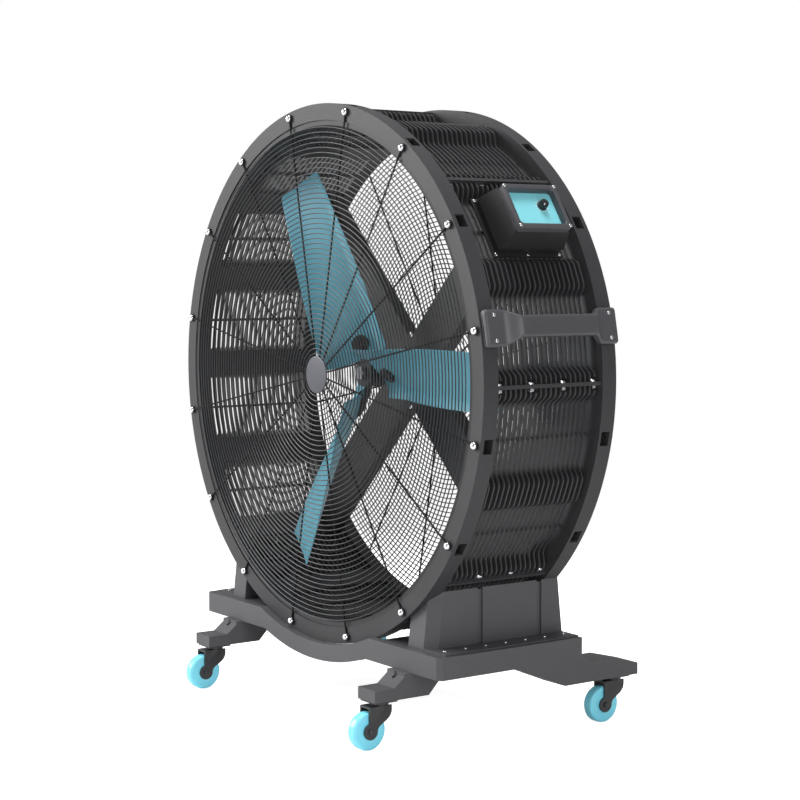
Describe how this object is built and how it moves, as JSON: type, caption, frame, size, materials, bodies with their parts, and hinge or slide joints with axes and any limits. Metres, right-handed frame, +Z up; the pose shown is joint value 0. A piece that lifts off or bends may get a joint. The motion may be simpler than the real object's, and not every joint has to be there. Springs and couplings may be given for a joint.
{
  "type": "industrial floor fan",
  "caption": "Large mobile drum fan: ribbed moulded drum with wire guards, twisted-blade impeller, side control box and handle, on a low base with swivel casters.",
  "frame": {"origin": "on the floor, straight below the middle of the drum", "axes": "+Z up, -Y the way the fan blows, +X its right-hand side with the control box"},
  "size_m": [1.5401, 0.843, 1.7],
  "materials": {
    "drum_plastic": "moulded charcoal plastic, fine grain",
    "guard_wire": "powder-coated round wire",
    "guard_plate": "powder-coated disc",
    "plated_bolts": "bright plated fasteners",
    "dark_steel": "black painted steel",
    "bare_steel": "bare machined steel",
    "motor_casting": "painted cast aluminium",
    "motor_iron": "laminated iron",
    "blade_finish": "satin teal blade",
    "dark_plastic": "moulded dark plastic",
    "panel_film": "printed turquoise film",
    "knob_plastic": "black moulded knob",
    "electronics": "circuit board and control",
    "wheel_polyurethane": "cast polyurethane",
    "caster_steel": "black painted pressed steel",
    "base_plastic": "moulded charcoal plastic, fine grain"
  },
  "bodies": {
    "fan_frame": {"body_screws": "plated_bolts", "cable_gland": "dark_plastic", "caster_plates": "caster_steel", "control_box": "dark_plastic", "control_panel": "panel_film", "control_panel_frame": "dark_plastic", "drive_board": "electronics", "drum_segment_1": "drum_plastic", "drum_segment_2": "drum_plastic", "drum_segment_3": "drum_plastic", "drum_segment_4": "drum_plastic", "drum_segment_5": "drum_plastic", "drum_segment_6": "drum_plastic", "drum_segment_7": "drum_plastic", "drum_segment_8": "drum_plastic", "front_crossbeam": "base_plastic", "front_guard": "guard_wire", "front_outriggers": "base_plastic", "guard_bolts": "plated_bolts", "guard_plates": "guard_plate", "motor_bearings": "bare_steel", "motor_housing": "motor_casting", "motor_rear_cover": "motor_casting", "motor_stator": "motor_iron", "motor_strut_1": "dark_steel", "motor_strut_2": "dark_steel", "motor_strut_3": "dark_steel", "motor_strut_4": "dark_steel", "rear_crossbeam": "base_plastic", "rear_guard": "guard_wire", "segment_bolts": "plated_bolts", "side_beam_left": "base_plastic", "side_beam_right": "base_plastic", "side_handle": "dark_plastic", "speed_potentiometer": "electronics", "strut_bolts": "bare_steel", "upright_left": "base_plastic", "upright_right": "base_plastic"},
    "impeller": {"motor_shaft": "bare_steel", "motor_rotor": "motor_iron", "impeller_hub": "dark_steel", "blade_1": "blade_finish", "blade_2": "blade_finish", "blade_3": "blade_finish", "blade_clamps": "dark_steel", "blade_bolts": "bare_steel", "shaft_nut": "bare_steel"},
    "speed_dial": {"speed_knob": "knob_plastic"},
    "caster_front_right": {"caster_fork_front_right": "caster_steel", "caster_axle_front_right": "bare_steel"},
    "wheel_front_right": {"caster_wheel_front_right": "wheel_polyurethane"},
    "caster_front_left": {"caster_fork_front_left": "caster_steel", "caster_axle_front_left": "bare_steel"},
    "wheel_front_left": {"caster_wheel_front_left": "wheel_polyurethane"},
    "caster_rear_right": {"caster_fork_rear_right": "caster_steel", "caster_axle_rear_right": "bare_steel"},
    "wheel_rear_right": {"caster_wheel_rear_right": "wheel_polyurethane"},
    "caster_rear_left": {"caster_fork_rear_left": "caster_steel", "caster_axle_rear_left": "bare_steel"},
    "wheel_rear_left": {"caster_wheel_rear_left": "wheel_polyurethane"}
  },
  "joints": [
    {"name": "impeller_spin", "type": "hinge", "parent": "fan_frame", "child": "impeller", "pos_m": [0, 0, 0.95], "axis": [0, 1, 0], "continuous": true},
    {"name": "speed_dial_turn", "type": "hinge", "parent": "fan_frame", "child": "speed_dial", "pos_m": [0.65795, 0.0395, 1.40526], "axis": [-0.8315, 0, -0.5556], "range_deg": [0, 280]},
    {"name": "swivel_front_right", "type": "hinge", "parent": "fan_frame", "child": "caster_front_right", "pos_m": [0.432, -0.312, 0.1], "axis": [0, 0, 1], "continuous": true},
    {"name": "roll_front_right", "type": "hinge", "parent": "caster_front_right", "child": "wheel_front_right", "pos_m": [0.432, -0.352, 0.05], "axis": [1, 0, 0], "continuous": true},
    {"name": "swivel_front_left", "type": "hinge", "parent": "fan_frame", "child": "caster_front_left", "pos_m": [-0.432, -0.312, 0.1], "axis": [0, 0, 1], "continuous": true},
    {"name": "roll_front_left", "type": "hinge", "parent": "caster_front_left", "child": "wheel_front_left", "pos_m": [-0.432, -0.352, 0.05], "axis": [1, 0, 0], "continuous": true},
    {"name": "swivel_rear_right", "type": "hinge", "parent": "fan_frame", "child": "caster_rear_right", "pos_m": [0.557, 0.384, 0.1], "axis": [0, 0, 1], "continuous": true},
    {"name": "roll_rear_right", "type": "hinge", "parent": "caster_rear_right", "child": "wheel_rear_right", "pos_m": [0.557, 0.344, 0.05], "axis": [1, 0, 0], "continuous": true},
    {"name": "swivel_rear_left", "type": "hinge", "parent": "fan_frame", "child": "caster_rear_left", "pos_m": [-0.557, 0.384, 0.1], "axis": [0, 0, 1], "continuous": true},
    {"name": "roll_rear_left", "type": "hinge", "parent": "caster_rear_left", "child": "wheel_rear_left", "pos_m": [-0.557, 0.344, 0.05], "axis": [1, 0, 0], "continuous": true}
  ]
}
